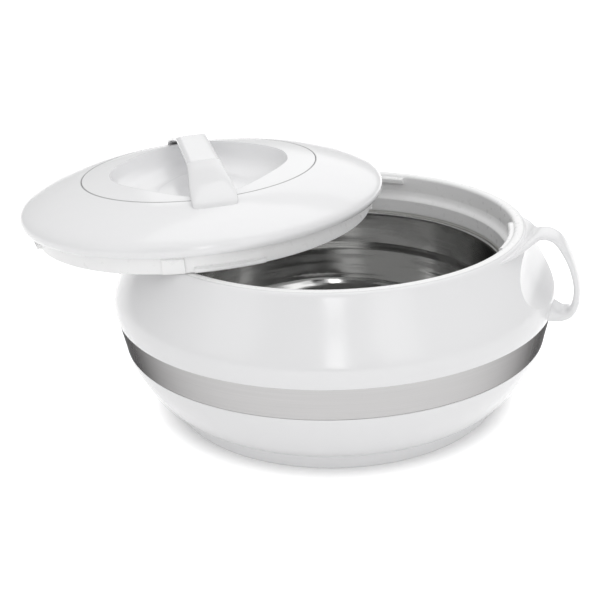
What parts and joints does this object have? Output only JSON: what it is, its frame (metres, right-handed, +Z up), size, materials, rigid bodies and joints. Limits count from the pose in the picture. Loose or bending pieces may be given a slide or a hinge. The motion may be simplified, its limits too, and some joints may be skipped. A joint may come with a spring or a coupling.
{
  "type": "insulated chapati casserole",
  "caption": "Low round insulated serving pot with a steel bowl, ear handles and a domed twist-lock lid lying off centre on its rim.",
  "frame": {"origin": "centre of the round foot on the surface it stands on", "axes": "+Z up along the pot's axis, ear handles on +X and -X; the lid lies shifted towards -X"},
  "size_m": [0.3285, 0.2572, 0.1513],
  "materials": {
    "shell_plastic": "glossy white moulding",
    "collar_plastic": "glossy white moulding",
    "lid_plastic": "glossy white moulding",
    "inner_plastic": "plain white moulding",
    "band_metal": "satin silver",
    "bowl_steel": "bright drawn steel",
    "screw_steel": "plain zinc",
    "seal_rubber": "soft white",
    "foam": "rigid foam"
  },
  "bodies": {
    "pot": {"upper_shell": "shell_plastic", "neck_collar": "collar_plastic", "silver_band": "band_metal", "lower_shell": "shell_plastic", "foot_ring": "shell_plastic", "filler_plug": "inner_plastic", "steel_bowl": "bowl_steel", "bowl_seal": "seal_rubber", "body_foam": "foam", "right_handle": "shell_plastic", "left_handle": "shell_plastic", "handle_screws": "screw_steel"},
    "lid_core": {"lid_foam": "foam"},
    "lid": {"lid_cover": "lid_plastic", "lid_insert": "lid_plastic", "lid_handle": "lid_plastic", "lid_handle_screws": "screw_steel", "lid_plug_ring": "collar_plastic", "lid_plug_screws": "screw_steel", "lid_inner_plate": "inner_plastic"}
  },
  "joints": [
    {"name": "lid_lift", "type": "slide", "parent": "pot", "child": "lid_core", "axis": [0, 0, 1], "range_m": [0, 0.15]},
    {"name": "lid_twist", "type": "hinge", "parent": "lid_core", "child": "lid", "pos_m": [-0.07781, -0.00544, 0.10629], "axis": [-0.0493, -0.0034, 0.9988], "range_deg": [-28.5, 0]}
  ]
}
